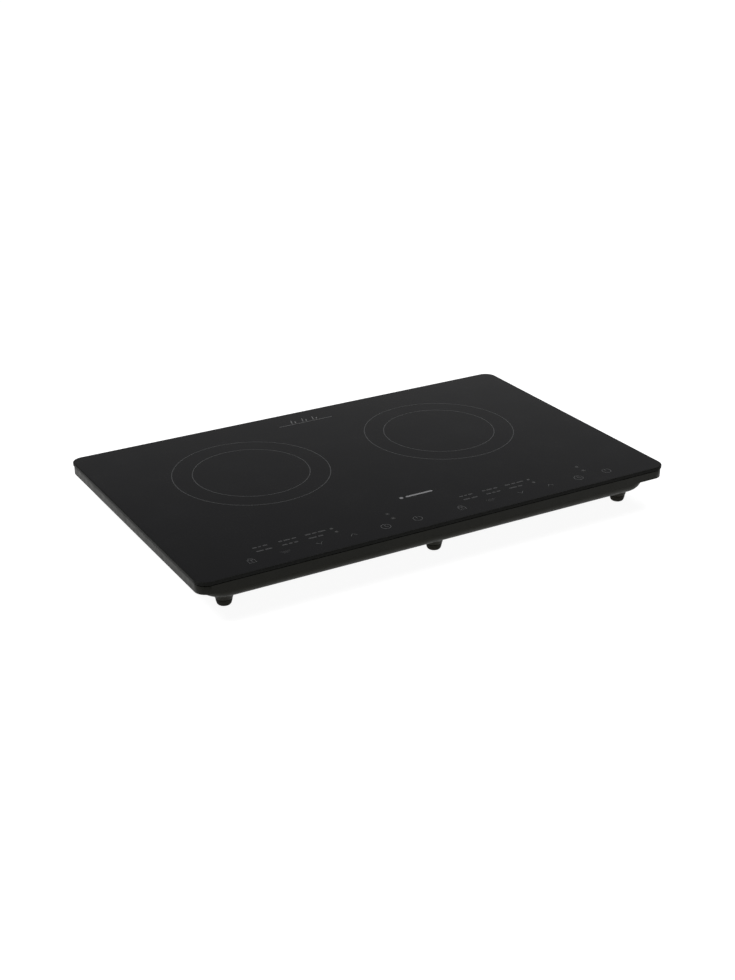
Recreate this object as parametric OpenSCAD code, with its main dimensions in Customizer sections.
// Free-standing induction cooktop with two cooking zones: a glass plate bonded
// to a plastic frame, a vented housing on feet, and all that works inside them.
// Millimetres. The origin is at the middle of the footprint, on the surface
// that the feet stand on: +X runs to the right, +Y to the back and +Z up.
// Inside, the left half mirrors the right half, apart from the two bought-in
// fans and the indicator lamps, which face the same way on both sides.

/* [Glass plate] */
// Width of the plate, the longest size of the cooktop
glass_w = 580; // [576:1:600]
// Depth of the plate
glass_d = 360; // [358:1:370]
// Thickness of the plate
glass_t = 4; // [3:0.5:5]
// Corner radius of the plate
glass_corner_r = 14; // [12:1:18]

/* [Case] */
// Height of the cooking surface above the table
total_h = 47; // [47:0.5:50]
// Gap between the table and the housing
foot_h = 15; // [15:0.5:17]
// Thickness of the housing wall
wall = 2; // [1.5:0.5:2.5]
// Height of the frame band under the plate
frame_h = 9; // [8.5:0.5:9.5]
// How far the frame stays inside the plate's edge
frame_inset = 1; // [0.5:0.5:2]
// Corner radius of the frame
frame_corner_r = 13; // [11:1:16]
// How far the housing stays inside the plate's edge at the left and right
housing_inset_x = 12; // [11:1:14]
// How far the housing stays inside the plate's edge at the front and back
housing_inset_y = 9; // [9:1:12]
// Corner radius of the housing, seen from above
housing_corner_r = 28; // [24:1:32]
// Radius that rounds the housing's bottom edge
housing_edge_r = 15; // [14:1:16]

/* [Feet] */
// Distance of the outer feet from the middle line
foot_x = 249; // [240:1:252]
// Distance of each row of feet from the middle line
foot_y = 146; // [140:1:148]
// Radius of a foot where it meets the housing
foot_top_r = 11; // [10:0.5:12]

/* [Cooking zones] */
// Distance of each zone's centre from the middle line
zone_x = 124.7; // [122:0.1:128]
// How far each zone's centre lies behind the middle line
zone_y = 42.4; // [40:0.1:46]
// Outer radius of the coil carrier
coil_r = 86; // [80:1:88]

/* [Fans] */
// Distance of each fan from the middle line
fan_x = 215; // [213:1:217]
// How far each fan lies in front of the middle line
fan_y = 98; // [96:1:102]

/* [Controls] */
// How far the row of touch keys lies in front of the middle line
key_y = 156.5; // [155:0.5:158]
// Distance from one touch key to the next
key_pitch = 39; // [38:0.5:40]

/* [Hidden] */
shared_nodes = [
    "glass_top", "glass_seal", "upper_frame", "bottom_housing", "foot_posts", "foot_pads",
    "foot_screws", "case_screws", "inner_screws", "fan_screws", "cord_inlet_bush",
    "terminal_block", "filter_board", "filter_choke", "filter_capacitor", "mains_fuse",
    "mains_leads", "indicator_leds", "buzzers"
];
side_nodes = [
    "coil_former", "coil_winding", "ferrite_bars", "mica_sheet", "sensor_plunger",
    "sensor_spring", "coil_leads", "sensor_lead", "power_board", "heatsink",
    "power_transistors", "board_capacitors", "board_choke", "board_transformer",
    "fan_frame", "fan_rotor", "control_tray", "touch_board", "touch_springs", "ribbon_cable"
];
side_names = ["left", "right"];
$fn = 64;

// Heights, from the table up
floor_z = foot_h;                          // underside of the housing
inner_z = floor_z + wall;                  // floor inside the housing
glass_z = total_h - glass_t;               // underside of the plate
seal_t = 1;
frame_top_z = glass_z - seal_t;
frame_bottom_z = frame_top_z - frame_h;
flange_t = 1.8;
flange_z = frame_top_z - flange_t;
wall_top_z = flange_z - 0.4;
board_t = 1.6;
board_z = inner_z + 4;                     // underside of the power and filter boards
board_top_z = board_z + board_t;
ferrite_z = inner_z + 9;
ferrite_t = 5;
former_z = ferrite_z + ferrite_t;
former_t = 2;
winding_z = former_z + former_t + 0.1;
winding_t = 4.4;
mica_z = former_z + 7;
mica_t = 0.5;
tray_z = inner_z + 19.5;
tray_t = 1;
touch_z = tray_z + tray_t + 1;             // underside of the touch boards
touch_top_z = touch_z + board_t;

// Plan sizes of the case
frame_w = glass_w - 2 * frame_inset;
frame_d = glass_d - 2 * frame_inset;
frame_wall = 2.2;
lip_t = 2;
lip_gap = 0.5;                             // between the frame's lower lip and the housing
housing_w = glass_w - 2 * housing_inset_x;
housing_d = glass_d - 2 * housing_inset_y;
window_x = 260;                            // half width of the frame's window
window_front = -164;
window_back = 153;
seal_w = 8;                                // width of the bonding seal
seal_inset = 3;

// Screws: head radius, head height and shank radius of each kind
small_screw = [2.8, 1.8, 1.15];
long_screw = [3.4, 2.4, 1.45];
fit = 0.05;                                // radial clearance of a screw in its pilot bore

case_screw_sites = [
    [-266, -120], [266, -120], [-266, 120], [266, 120], [-100, 159], [100, 159], [0, -159]
];
case_boss_r = 4.6;
case_split_z = inner_z + 13;               // where a housing boss meets a frame boss
case_head_z = case_split_z - 4;            // shoulder that a case screw's head bears on

// Power boards, on the right half
power_x = [8, 163];
power_y = [-150, -55];
power_sites = [for (x = [13, 158], y = [-145, -60]) [x, y]];

// Filter board, on the middle line
filter_w = 66;
filter_y = [52, 140];
filter_sites = [for (x = [-28, 28], y = [57, 135]) [x, y]];

// Control boards, on the right half
tray_x = [12, 238];
tray_y = [-166, -128];
touch_x = [15, 235];
touch_y = [-165, -121];
tray_sites = [[20, -161], [125, -163], [230, -161], [169, -132]];
post_r = 3.4;

// Coil carriers: lugs that the screws hold, and the sensor in the middle
lug_r = 92;
lug_angles = [30, 150, 270];
lug_sites = [for (a = lug_angles) [zone_x + lug_r * cos(a), zone_y + lug_r * sin(a)]];
guide_r = 3.5;                             // bore that the sensor slides in
guide_z = inner_z + 7;
sensor_stem_r = guide_r - fit;
sensor_cap_z = glass_z - 4.6;

// Fans
fan_size = 80;
fan_t = 15;
fan_bore_r = 37.5;
fan_shaft_r = 1.5;
fan_hole = 71.5;                           // spacing of a fan's screw holes
fan_motor_z = inner_z + 12;

// Feet: the rubber sole's height, and its radius where the post begins
foot_pad_h = 7.6;
foot_neck_r = 9.2;

// Heatsinks, on the right half
heatsink_x = [108, 152];
heatsink_y = [-143, -66];
heatsink_z = board_top_z + 4.6;

// Ribbon cables, on the right half
ribbon_x = [20, 34];
ribbon_y = [-125.1, -124.1];
plug_h = 4;

// Cord inlet in the back wall
inlet_z = floor_z + 9.5;
inlet_r = 6;
inlet_bore_r = 4.3;
inlet_y = housing_d / 2;

// Lamp places beside each zone's middle line, and on the board
lamp_x = 75.4;
lamp_rows = [-131, -143];

function unit(v) = v / norm(v);

// For each direction, a vector square to it that turns as little as it can from
// the one before, so that a tube swept along them isn't twisted.
function carried(directions, u, i = 0) =
    i == len(directions) ? [] :
    let (d = directions[i], next = unit(u - (u * d) * d))
    concat([next], carried(directions, next, i + 1));

// One ring of a swept tube: points around p, square to d, the first one towards u.
function tube_ring(p, d, u, r, sides) =
    let (v = cross(d, u))
    [for (k = [0:sides - 1]) p + r * (cos(360 * k / sides) * u + sin(360 * k / sides) * v)];

// A closed tube of radius r along a list of points.
module tube(path, r, sides = 8) {
    last = len(path) - 1;
    along = [for (i = [0:last]) unit(path[min(i + 1, last)] - path[max(i - 1, 0)])];
    first = unit(cross(abs(along[0].z) < 0.9 ? [0, 0, 1] : [0, 1, 0], along[0]));
    out = carried(along, first);
    rings = [for (i = [0:last]) tube_ring(path[i], along[i], out[i], r, sides)];
    points = [for (ring = rings, p = ring) p];
    walls = [
        for (i = [0:last - 1], k = [0:sides - 1])
            let (next = (k + 1) % sides)
            [i * sides + next, i * sides + k, (i + 1) * sides + k, (i + 1) * sides + next]
    ];
    start_cap = [for (k = [0:sides - 1]) k];
    end_cap = [for (k = [sides - 1:-1:0]) last * sides + k];
    polyhedron(points, concat([start_cap], walls, [end_cap]));
}

// A smooth path through two ends and two handles.
function bezier(a, b, c, d, steps = 12) = [
    for (i = [0:steps])
        let (t = i / steps, s = 1 - t)
        s * s * s * a + 3 * s * s * t * b + 3 * s * t * t * c + t * t * t * d
];

module rounded_rect(w, d, r) {
    square([w - 2 * r, d], center = true);
    square([w, d - 2 * r], center = true);
    for (x = [-1, 1], y = [-1, 1]) translate([x * (w / 2 - r), y * (d / 2 - r)]) circle(r);
}

// Sweeps a profile around a rounded rectangle. In the profile, x = 0 is the
// outline and negative x lies inside it, by no more than the corner radius.
module sweep_around(w, d, r) {
    for (i = [0:3]) {
        along = i % 2 == 0 ? d : w;
        across = i % 2 == 0 ? w : d;
        rotate([0, 0, 90 * i]) {
            translate([across / 2, along / 2 - r, 0]) rotate([90, 0, 0])
                linear_extrude(along - 2 * r) children();
            translate([across / 2 - r, along / 2 - r, 0])
                rotate_extrude(angle = 90) translate([r, 0]) children();
        }
    }
}

// A block between two corners given as [x, x], [y, y] and [z, z].
module block(x, y, z) {
    translate([x[0], y[0], z[0]]) cube([x[1] - x[0], y[1] - y[0], z[1] - z[0]]);
}

module rod(x, y, z, r) {
    translate([x, y, z[0]]) cylinder(r = r, h = z[1] - z[0]);
}

// Puts the right half's geometry on the side asked for: 1 is right, -1 is left.
module on_side(side) {
    mirror([side < 0 ? 1 : 0, 0, 0]) children();
}

// A pan-head screw whose head bears on z, with the head above or below it.
module screw(x, y, z, kind, length, head_up = true) {
    translate([x, y, z]) mirror([0, 0, head_up ? 0 : 1]) {
        difference() {
            cylinder(r = kind[0], h = kind[1]);
            for (a = [0, 90]) rotate([0, 0, a])
                translate([-kind[0] * 0.6, -0.3, kind[1] - 0.8]) cube([kind[0] * 1.2, 0.6, 1]);
        }
        translate([0, 0, -length]) cylinder(r = kind[2], h = length);
    }
}

// ---- Case -------------------------------------------------------------------

module glass_top() {
    color([0.14, 0.15, 0.16]) translate([0, 0, glass_z])
        linear_extrude(glass_t) rounded_rect(glass_w, glass_d, glass_corner_r);
}

module glass_seal() {
    outer_w = frame_w - 2 * seal_inset;
    outer_d = frame_d - 2 * seal_inset;
    color([0.05, 0.05, 0.05]) translate([0, 0, frame_top_z]) linear_extrude(seal_t) difference() {
        rounded_rect(outer_w, outer_d, frame_corner_r - seal_inset);
        rounded_rect(outer_w - 2 * seal_w, outer_d - 2 * seal_w, 4);
    }
}

module frame_outline() {
    rounded_rect(frame_w, frame_d, frame_corner_r);
}

module upper_frame() {
    color([0.14, 0.14, 0.13]) difference() {
        union() {
            translate([0, 0, frame_bottom_z]) linear_extrude(lip_t) difference() {
                frame_outline();
                rounded_rect(
                    housing_w + 2 * lip_gap, housing_d + 2 * lip_gap, housing_corner_r + lip_gap
                );
            }
            translate([0, 0, frame_bottom_z + lip_t])
                linear_extrude(flange_z - frame_bottom_z - lip_t) difference() {
                    frame_outline();
                    rounded_rect(
                        frame_w - 2 * frame_wall, frame_d - 2 * frame_wall,
                        frame_corner_r - frame_wall
                    );
                }
            translate([0, 0, flange_z]) linear_extrude(flange_t) difference() {
                frame_outline();
                translate([-window_x, window_front])
                    square([2 * window_x, window_back - window_front]);
            }
            // Lug that carries the middle front boss
            block([-7, 7], [window_front, window_front + 12], [flange_z, frame_top_z]);
            for (p = case_screw_sites) rod(p.x, p.y, [case_split_z, flange_z], case_boss_r);
        }
        for (p = case_screw_sites)
            rod(p.x, p.y, [case_split_z - 1, flange_z + 0.2], long_screw[2] + fit);
    }
}

// A solid pan that lies the given distance inside the housing's outer face.
module solid_pan(inset) {
    h = wall_top_z - floor_z - inset;
    corner_r = housing_corner_r - inset;
    edge_r = housing_edge_r - inset;
    w = housing_w - 2 * inset;
    d = housing_d - 2 * inset;
    translate([0, 0, floor_z + inset]) {
        sweep_around(w, d, corner_r) difference() {
            translate([-corner_r, 0]) square([corner_r, h]);
            difference() {
                translate([-edge_r, -1]) square([edge_r + 1, edge_r + 1]);
                translate([-edge_r, edge_r]) circle(edge_r);
            }
        }
        translate([-w / 2 + corner_r, -d / 2 + corner_r, 0])
            cube([w - 2 * corner_r, d - 2 * corner_r, h]);
    }
}

// The housing's wall and rounded bottom edge, in the profile of sweep_around.
module housing_profile() {
    h = wall_top_z - floor_z;
    inner_r = housing_edge_r - wall;
    difference() {
        translate([-housing_corner_r, 0]) square([housing_corner_r, h]);
        difference() {
            translate([-housing_edge_r, -1]) square([housing_edge_r + 1, housing_edge_r + 1]);
            translate([-housing_edge_r, housing_edge_r]) circle(housing_edge_r);
        }
        difference() {
            translate([-housing_corner_r - 1, wall]) square([housing_corner_r + 1 - wall, h]);
            difference() {
                translate([-housing_edge_r, 0]) square([housing_edge_r, housing_edge_r]);
                translate([-housing_edge_r, housing_edge_r]) circle(inner_r);
            }
        }
    }
}

// Straight slots that fill a circle under a fan.
module fan_grille() {
    slot = 3.2;
    pitch = 6.4;
    grille_r = 36;
    for (i = [-5:5]) {
        y = i * pitch;
        half = sqrt(grille_r * grille_r - y * y);
        for (part = [[-half, -1.6], [1.6, half]])
            translate([part[0], y - slot / 2, -1]) cube([part[1] - part[0], slot, wall + 2]);
    }
}

// Posts that stand on the housing's floor, rooted inside its wall.
module housing_posts() {
    root_z = floor_z;
    intersection() {
        union() {
            for (p = case_screw_sites) rod(p.x, p.y, [root_z, case_split_z], case_boss_r);
            for (p = filter_sites) rod(p.x, p.y, [root_z, board_z], post_r);
            for (side = [-1, 1]) on_side(side) {
                for (p = power_sites) rod(p.x, p.y, [root_z, board_z], post_r);
                for (p = tray_sites) rod(p.x, p.y, [root_z, tray_z], post_r);
                for (p = lug_sites) rod(p.x, p.y, [root_z, former_z], post_r);
            }
        }
        solid_pan(wall / 2);
    }
}

module housing_bores() {
    pilot_r = small_screw[2] + fit;
    clear_r = long_screw[2] + 0.3;
    for (p = case_screw_sites) {
        rod(p.x, p.y, [floor_z - 3, case_head_z], long_screw[0] + 0.3);
        rod(p.x, p.y, [floor_z, case_split_z + 1], clear_r);
    }
    for (p = filter_sites) rod(p.x, p.y, [inner_z, board_z + 1], pilot_r);
    for (x = [-foot_x, 0, foot_x], y = [-foot_y, foot_y])
        rod(x, y, [floor_z - 1, inner_z + 1], clear_r);
    for (side = [-1, 1]) on_side(side) {
        for (p = power_sites) rod(p.x, p.y, [inner_z, board_z + 1], pilot_r);
        for (p = tray_sites) rod(p.x, p.y, [tray_z - 8, tray_z + 1], pilot_r);
        for (p = lug_sites) rod(p.x, p.y, [former_z - 8, former_z + 1], pilot_r);
        for (x = [-1, 1], y = [-1, 1])
            rod(
                fan_x + x * fan_hole / 2, y * fan_hole / 2 - fan_y,
                [floor_z - 1, inner_z + 1], clear_r
            );
    }
    translate([0, inlet_y - 13, inlet_z]) rotate([-90, 0, 0]) cylinder(r = inlet_r, h = 15);
}

// Air comes in under the fans and leaves through the floor and the back wall.
module housing_vents() {
    pitch = 8;
    slot = 3.2;
    for (side = [-1, 1]) on_side(side) {
        translate([fan_x, -fan_y, floor_z]) fan_grille();
        for (i = [0:15])
            block(
                [78 + i * pitch, 78 + slot + i * pitch], [inlet_y - 18, inlet_y + 1],
                [floor_z + 7, floor_z + 16]
            );
        for (i = [0:9])
            block(
                [120 + i * pitch, 120 + slot + i * pitch], [-34, 12],
                [floor_z - 1, inner_z + 1]
            );
    }
}

module bottom_housing() {
    plate_w = housing_w - 2 * housing_corner_r;
    plate_d = housing_d - 2 * housing_corner_r;
    inlet_boss_r = 8;
    color([0.16, 0.16, 0.15]) difference() {
        union() {
            translate([0, 0, floor_z]) {
                sweep_around(housing_w, housing_d, housing_corner_r) housing_profile();
                translate([-plate_w / 2, -plate_d / 2, 0]) cube([plate_w, plate_d, wall]);
            }
            housing_posts();
            translate([0, inlet_y - 12, inlet_z]) rotate([-90, 0, 0])
                cylinder(r = inlet_boss_r, h = 12.3);
        }
        housing_bores();
        housing_vents();
    }
}

module each_foot() {
    for (x = [-foot_x, 0, foot_x], y = [-foot_y, foot_y]) translate([x, y, 0]) children();
}

module foot_posts() {
    stem_r = 4.2;
    color([0.30, 0.30, 0.29]) each_foot() rotate_extrude() difference() {
        polygon([
            [0, foot_pad_h], [foot_neck_r, foot_pad_h], [foot_top_r - 1.2, floor_z - 4],
            [foot_top_r, floor_z - 0.6], [foot_top_r, floor_z], [0, floor_z]
        ]);
        translate([0, foot_pad_h - 1]) square([stem_r, 4]);
        translate([0, foot_pad_h]) square([long_screw[2] + fit, floor_z]);
    }
}

module foot_pads() {
    stem_r = 4.15;
    sole_r = 5;
    color([0.07, 0.07, 0.07]) each_foot() rotate_extrude() polygon([
        [0, 0], [sole_r, 0], [sole_r + 1.4, 0.5], [sole_r + 2.2, 1.6], [sole_r + 2.6, 3.2],
        [foot_neck_r - 0.4, foot_pad_h - 0.4], [foot_neck_r - 0.7, foot_pad_h],
        [stem_r, foot_pad_h], [stem_r, foot_pad_h + 2.4], [0, foot_pad_h + 2.4]
    ]);
}

module foot_screws() {
    color([0.72, 0.72, 0.70])
        for (x = [-foot_x, 0, foot_x], y = [-foot_y, foot_y]) screw(x, y, inner_z, long_screw, 6);
}

module case_screws() {
    color([0.72, 0.72, 0.70]) for (p = case_screw_sites)
        screw(p.x, p.y, case_head_z, long_screw, 12, head_up = false);
}

// The small screws are all alike: they hold the boards, the trays and the coils.
module inner_screws() {
    color([0.72, 0.72, 0.70]) {
        for (x = [-1, 1]) {
            for (p = power_sites) screw(x * p.x, p.y, board_top_z, small_screw, 5);
            for (p = tray_sites) screw(x * p.x, p.y, tray_z + tray_t, small_screw, 5);
            for (p = lug_sites) screw(x * p.x, p.y, former_z + former_t, small_screw, 7);
        }
        for (p = filter_sites) screw(p.x, p.y, board_top_z, small_screw, 5);
    }
}

module fan_screws() {
    color([0.72, 0.72, 0.70]) for (x = [-1, 1], a = [0:90:270])
        translate([x * fan_x, -fan_y, 0]) rotate([0, 0, a])
            screw(fan_hole / 2, fan_hole / 2, inner_z + fan_t, long_screw, fan_t + 1.5);
}

// ---- Mains side -------------------------------------------------------------

module cord_inlet_bush() {
    color([0.06, 0.06, 0.06]) translate([0, inlet_y, inlet_z]) rotate([-90, 0, 0])
        rotate_extrude() difference() {
            union() {
                translate([inlet_bore_r, -14]) square([inlet_r - fit - inlet_bore_r, 16.4]);
                translate([inlet_bore_r, 0.4]) square([7.4 - inlet_bore_r, 2.4]);
                translate([inlet_bore_r, -14]) square([7 - inlet_bore_r, 1.8]);
            }
            translate([6.9, 2.2]) square([2, 2]);
        }
}

module filter_board() {
    color([0.10, 0.30, 0.16]) translate([0, 0, board_z]) linear_extrude(board_t) difference() {
        translate([-filter_w / 2, filter_y[0]]) square([filter_w, filter_y[1] - filter_y[0]]);
        for (p = filter_sites) translate(p) circle(small_screw[2] + 0.25);
    }
}

module filter_choke() {
    color([0.72, 0.42, 0.20]) translate([-9, 78, board_top_z]) wound_ring(15, 8, 13);
}

// A ring core lying flat, with its windings as ribs.
module wound_ring(outer_r, inner_r, h) {
    turns = 16;
    difference() {
        union() {
            cylinder(r = outer_r - 1, h = h - 0.8);
            for (i = [0:turns - 1]) rotate([0, 0, 360 * i / turns])
                translate([inner_r, -0.9, 0]) cube([outer_r - inner_r, 1.8, h]);
        }
        translate([0, 0, -1]) cylinder(r = inner_r, h = h + 2);
    }
}

module filter_capacitor() {
    color([0.80, 0.72, 0.20]) block([12, 23], [66, 92], [board_top_z, board_top_z + 14]);
}

module mains_fuse() {
    clip_h = 4.5;
    color([0.80, 0.80, 0.76]) translate([0, 112, board_top_z]) {
        for (x = [-10, 10]) translate([x - 2, -3, 0]) cube([4, 6, clip_h]);
        translate([-11.5, 0, clip_h + 2.4]) rotate([0, 90, 0]) cylinder(r = 2.4, h = 23);
    }
}

module terminal_block() {
    poles = 3;
    pole_w = 9;
    color([0.85, 0.85, 0.80]) difference() {
        block([-14, 14], [122, 136], [board_top_z, board_top_z + 13]);
        for (i = [0:poles - 1]) translate([(i - 1) * pole_w, 129, board_top_z + 6]) {
            rotate([-90, 0, 0]) cylinder(r = 2.6, h = 10);
            cylinder(r = 2, h = 10);
        }
    }
}

// Leads from the filter board to both power boards, between the two coils.
module mains_leads() {
    lead_r = 1.3;
    gap = 0.4;                             // the ends stop short of the solder
    z = board_top_z + 3;
    color([0.55, 0.10, 0.08]) for (x = [-1, 1], i = [0, 1]) {
        from = [x * (14 + 5 * i), 56, board_top_z + gap];
        to = [x * (20 + 5 * i), -57, board_top_z + gap];
        tube(concat(
            bezier(from, from + [0, 0, 4], [from.x, 48, z], [from.x, 42, z], 6),
            [for (y = [25, 5, -15, -32]) [from.x + (to.x - from.x) * (42 - y) / 88, y, z]],
            bezier([to.x, -46, z], [to.x, -52, z], to + [0, 0, 4], to, 6)
        ), lead_r);
    }
}

// ---- Coils ------------------------------------------------------------------

module on_zone(side) {
    translate([side * zone_x, zone_y, 0]) mirror([side < 0 ? 1 : 0, 0, 0]) children();
}

module coil_former(side) {
    rim_h = 5;
    hub_r = 20;
    color([0.20, 0.20, 0.20]) on_zone(side) difference() {
        union() {
            translate([0, 0, former_z]) cylinder(r = coil_r, h = former_t);
            translate([0, 0, former_z]) difference() {
                cylinder(r = coil_r, h = former_t + rim_h - 0.2);
                cylinder(r = coil_r - 1.5, h = former_t + rim_h);
            }
            translate([0, 0, former_z]) difference() {
                cylinder(r = hub_r, h = former_t + rim_h - 0.2);
                cylinder(r = hub_r - 1.5, h = former_t + rim_h);
            }
            translate([0, 0, guide_z]) cylinder(r = guide_r + 1.6, h = former_z - guide_z + 3.5);
            for (a = lug_angles) rotate([0, 0, a]) {
                translate([coil_r - 2, -post_r, former_z]) cube([lug_r - coil_r + 2, 2 * post_r, former_t]);
                rod(lug_r, 0, [former_z, former_z + former_t], post_r);
            }
        }
        translate([0, 0, guide_z - 1]) cylinder(r = guide_r, h = 20);
        for (a = lug_angles) rotate([0, 0, a])
            rod(lug_r, 0, [former_z - 1, former_z + former_t + 1], small_screw[2] + 0.25);
        // Windows in the base between the ferrite bars
        for (i = [0:7]) rotate([0, 0, 45 * i + 45]) translate([52, -5, former_z - 1])
            cube([20, 10, former_t + 2]);
    }
}

module coil_winding(side) {
    turns = 24;
    inner_r = 21;
    outer_r = coil_r - 2;
    pitch = (outer_r - inner_r) / turns;
    color([0.72, 0.38, 0.18]) on_zone(side) translate([0, 0, winding_z]) rotate_extrude() {
        translate([inner_r, 0]) square([outer_r - inner_r, winding_t - 0.6]);
        for (i = [0:turns - 1])
            translate([inner_r + i * pitch + 0.2, winding_t - 0.7]) square([pitch - 0.4, 0.7]);
    }
}

module ferrite_bars(side) {
    color([0.16, 0.16, 0.17]) on_zone(side) for (i = [0:7]) rotate([0, 0, 45 * i + 22.5])
        translate([24, -7, ferrite_z]) cube([54, 14, ferrite_t]);
}

module mica_sheet(side) {
    color([0.75, 0.70, 0.58]) on_zone(side) translate([0, 0, mica_z]) difference() {
        cylinder(r = coil_r, h = mica_t);
        translate([0, 0, -1]) cylinder(r = 9, h = mica_t + 2);
    }
}

module sensor_plunger(side) {
    color([0.85, 0.83, 0.78]) on_zone(side) {
        translate([0, 0, sensor_cap_z]) cylinder(r = 7, h = glass_z - sensor_cap_z - 0.1);
        translate([0, 0, guide_z + 2.5])
            cylinder(r = sensor_stem_r, h = sensor_cap_z - guide_z - 2.5);
    }
}

module sensor_spring(side) {
    coils = 4;
    steps = 20;
    wire_r = 0.35;
    spring_r = 6.2;
    low = former_z + former_t + wire_r;
    high = sensor_cap_z - wire_r;
    color([0.70, 0.70, 0.70]) on_zone(side) tube([
        for (i = [0:coils * steps])
            [
                spring_r * cos(360 * i / steps), spring_r * sin(360 * i / steps),
                low + 0.05 + (high - low - 0.1) * i / (coils * steps)
            ]
    ], wire_r, 6);
}

// Two heavy leads from under the carrier to the power board.
module coil_leads(side) {
    lead_r = 1.6;
    color([0.66, 0.40, 0.22]) on_zone(side) for (x = [-9, 9]) {
        from = [x, -68, former_z - 0.4];
        to = [x, -101, board_top_z + 0.4];
        tube(concat(
            bezier(from, from - [0, 0, 5], [x, -72, 25], [x, -84, 25], 8),
            bezier([x, -88, 25], [x, -96, 25], to + [0, 0, 5], to, 8)
        ), lead_r);
    }
}

module sensor_lead(side) {
    lead_r = 0.8;
    z = inner_z + 2.2;
    across = 20;                           // clear of the carrier's front post
    from = [0, 0, guide_z - 0.3];
    to = [across, -102, board_top_z + 0.2];
    color([0.80, 0.80, 0.75]) on_zone(side) tube(concat(
        bezier(from, from - [0, 0, 5], [3, -4, z], [8, -14, z], 6),
        [[14, -30, z], [18, -50, z], [across, -70, z], [across, -80, z]],
        bezier([across, -88, z], [across, -94, z], [across, -96, 28], [across, -100, 28], 6),
        bezier([across, -101, 27.6], [across, -102, 27], to + [0, 0, 3], to, 4)
    ), lead_r);
}

// ---- Power boards -----------------------------------------------------------

module power_board(side) {
    color([0.10, 0.30, 0.16]) on_side(side) translate([0, 0, board_z])
        linear_extrude(board_t) difference() {
            translate([power_x[0], power_y[0]])
                square([power_x[1] - power_x[0], power_y[1] - power_y[0]]);
            for (p = power_sites) translate(p) circle(small_screw[2] + 0.25);
        }
}

module heatsink(side) {
    base_t = 3;
    fin_t = 1.4;
    fin_pitch = 5.4;
    fin_count = 15;
    color([0.78, 0.79, 0.80]) on_side(side) {
        block(heatsink_x, heatsink_y, [heatsink_z, heatsink_z + base_t]);
        for (i = [0:fin_count - 1])
            translate([heatsink_x[0], heatsink_y[0] + i * fin_pitch, heatsink_z + base_t])
                cube([heatsink_x[1] - heatsink_x[0], fin_t, 5.8]);
        // Feet that stand on the board
        for (x = [heatsink_x[0], heatsink_x[1] - 3], y = [heatsink_y[0], heatsink_y[1] - 6])
            block([x, x + 3], [y, y + 6], [board_top_z, heatsink_z]);
    }
}

// Two switching transistors and a bridge rectifier, flat under the heatsink.
module power_transistors(side) {
    color([0.08, 0.08, 0.09]) on_side(side) for (y = [-136, -112, -88])
        block([120, 141], [y, y + 16], [board_top_z + 0.1, heatsink_z]);
}

module board_capacitors(side) {
    color([0.12, 0.16, 0.32]) on_side(side) {
        for (y = [-140, -112]) block([70, 102], [y, y + 18], [board_top_z, board_top_z + 13]);
        block([70, 102], [-86, -70], [board_top_z, board_top_z + 11]);
        for (x = [21, 34]) rod(x, -136, [board_top_z, board_top_z + 12], 5);
        rod(26, -106, [board_top_z, board_top_z + 9], 4);
    }
}

module board_choke(side) {
    color([0.72, 0.42, 0.20]) on_side(side) translate([47, -84, board_top_z]) wound_ring(14, 7, 12.5);
}

module board_transformer(side) {
    color([0.78, 0.66, 0.22]) on_side(side) {
        block([44, 62], [-128, -112], [board_top_z, board_top_z + 12]);
        block([47, 59], [-131, -109], [board_top_z + 3, board_top_z + 9]);
    }
}

module buzzers() {
    color([0.06, 0.06, 0.06]) for (x = [-1, 1]) difference() {
        rod(x * 24, -84, [board_top_z, board_top_z + 8], 6);
        rod(x * 24, -84, [board_top_z + 6, board_top_z + 9], 1);
    }
}

// ---- Fans -------------------------------------------------------------------

module on_fan(side) {
    translate([side * fan_x, -fan_y, 0]) children();
}

module fan_frame(side) {
    hub_r = 16;
    ring_t = 2;
    color([0.07, 0.07, 0.07]) on_fan(side) difference() {
        union() {
            translate([0, 0, inner_z]) linear_extrude(fan_t) difference() {
                rounded_rect(fan_size, fan_size, 5);
                circle(fan_bore_r);
            }
            translate([0, 0, inner_z + fan_t - ring_t]) cylinder(r = hub_r, h = ring_t);
            for (a = [45:90:315]) rotate([0, 0, a])
                translate([hub_r - 1, -1.5, inner_z + fan_t - ring_t])
                    cube([fan_bore_r - hub_r + 2, 3, ring_t]);
            translate([0, 0, fan_motor_z - 6]) cylinder(r = 4, h = 8);
        }
        translate([0, 0, fan_motor_z - 7]) cylinder(r = fan_shaft_r + fit, h = 8);
        for (a = [0:90:270]) rotate([0, 0, a])
            translate([fan_hole / 2, fan_hole / 2, inner_z - 1])
                cylinder(r = long_screw[2] + 0.3, h = fan_t + 2);
    }
}

module fan_rotor(side) {
    blades = 7;
    cap_r = 15;
    low = inner_z + 1.2;
    high = fan_motor_z - 0.4;
    blade_r = 36;
    color([0.12, 0.12, 0.12]) on_fan(side) {
        difference() {
            translate([0, 0, low]) cylinder(r = cap_r, h = high - low);
            translate([0, 0, low + 1.5]) cylinder(r = cap_r - 1.5, h = high);
        }
        translate([0, 0, low + 1]) cylinder(r = fan_shaft_r, h = high - low - 1.5);
        for (i = [0:blades - 1]) rotate([0, 0, 360 * i / blades])
            translate([cap_r - 0.6, 0, (low + high) / 2]) rotate([32, 0, 0])
                translate([0, -8, -0.7]) cube([blade_r - cap_r - 2, 16, 1.4]);
    }
}

// ---- Controls ---------------------------------------------------------------

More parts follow.
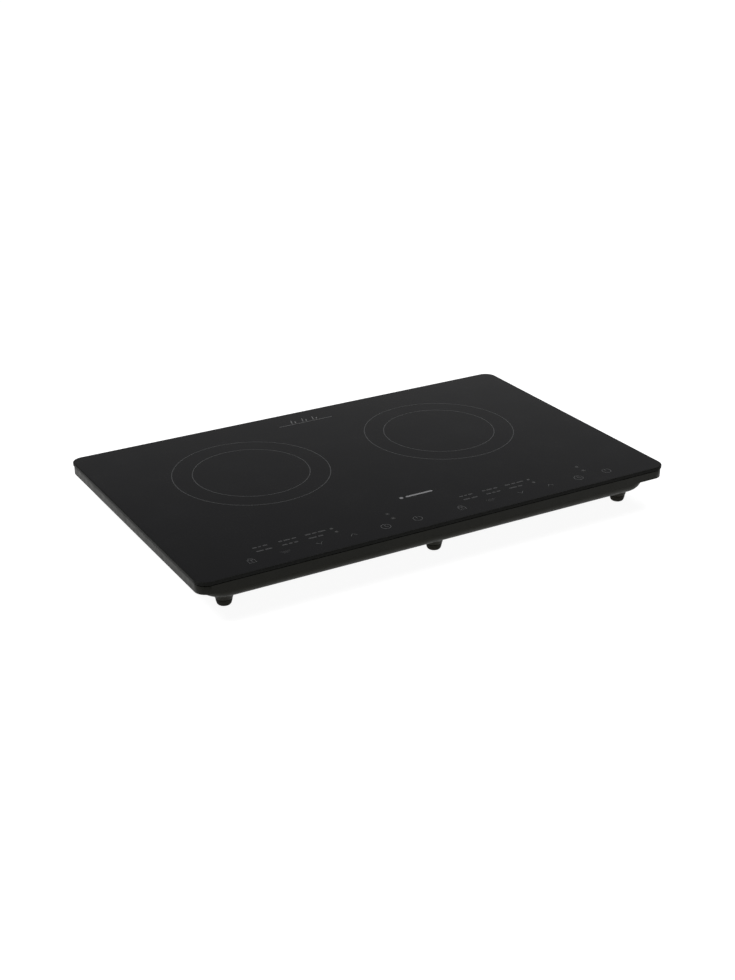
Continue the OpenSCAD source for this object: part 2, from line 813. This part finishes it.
module control_tray(side) {
    color([0.75, 0.75, 0.73]) on_side(side) {
        translate([0, 0, tray_z]) linear_extrude(tray_t) difference() {
            translate([tray_x[0], tray_y[0]])
                square([tray_x[1] - tray_x[0], tray_y[1] - tray_y[0]]);
            for (p = tray_sites) translate(p) circle(small_screw[2] + 0.25);
        }
        for (x = [45, 100, 150, 205], y = [-160, -136])
            rod(x, y, [tray_z + tray_t, touch_z], 2);
    }
}

module touch_board(side) {
    color([0.90, 0.90, 0.86]) on_side(side) {
        translate([0, 0, touch_z]) linear_extrude(board_t) difference() {
            translate([touch_x[0], touch_y[0]])
                square([touch_x[1] - touch_x[0], touch_y[1] - touch_y[0]]);
            for (p = tray_sites) translate(p) circle(small_screw[0] + 0.4);
        }
        block(
            [ribbon_x[0] - 2, ribbon_x[1] + 2], [ribbon_y[0] - 2, ribbon_y[1] + 2],
            [touch_z - plug_h, touch_z]
        );
    }
}

// Springs that carry each touch key's field to the underside of the glass.
module touch_springs(side) {
    keys = 6;
    color([0.80, 0.80, 0.80]) on_zone(side) for (i = [0:keys - 1])
        translate([(i - (keys - 1) / 2) * key_pitch, -key_y - zone_y, touch_top_z]) {
            difference() {
                cylinder(r = 4, h = glass_z - touch_top_z - 0.1);
                translate([0, 0, -1]) cylinder(r = 3.2, h = 6);
            }
            translate([0, 0, glass_z - touch_top_z - 0.6]) cylinder(r = 3.6, h = 0.5);
        }
}

module indicator_leds() {
    color([0.85, 0.20, 0.15]) for (x = [-zone_x, zone_x], y = lamp_rows)
        block([x + lamp_x - 1.6, x + lamp_x + 1.6], [y - 1, y + 1], [touch_top_z, touch_top_z + 1.6]);
}

module ribbon_cable(side) {
    color([0.82, 0.82, 0.80]) on_side(side)
        block(ribbon_x, ribbon_y, [board_top_z + 0.1, touch_z - plug_h - 0.1]);
}

// ---- Assembly ---------------------------------------------------------------

glass_top();
glass_seal();
upper_frame();
bottom_housing();
foot_posts();
foot_pads();
foot_screws();
case_screws();
inner_screws();
fan_screws();
cord_inlet_bush();
terminal_block();
filter_board();
filter_choke();
filter_capacitor();
mains_fuse();
mains_leads();
indicator_leds();
buzzers();
for (i = [0, 1]) {
    side = 2 * i - 1;
    end = str("_", side_names[i]);
    coil_former(side);
    coil_winding(side);
    ferrite_bars(side);
    mica_sheet(side);
    sensor_plunger(side);
    sensor_spring(side);
    coil_leads(side);
    sensor_lead(side);
    power_board(side);
    heatsink(side);
    power_transistors(side);
    board_capacitors(side);
    board_choke(side);
    board_transformer(side);
    fan_frame(side);
    fan_rotor(side);
    control_tray(side);
    touch_board(side);
    touch_springs(side);
    ribbon_cable(side);
}
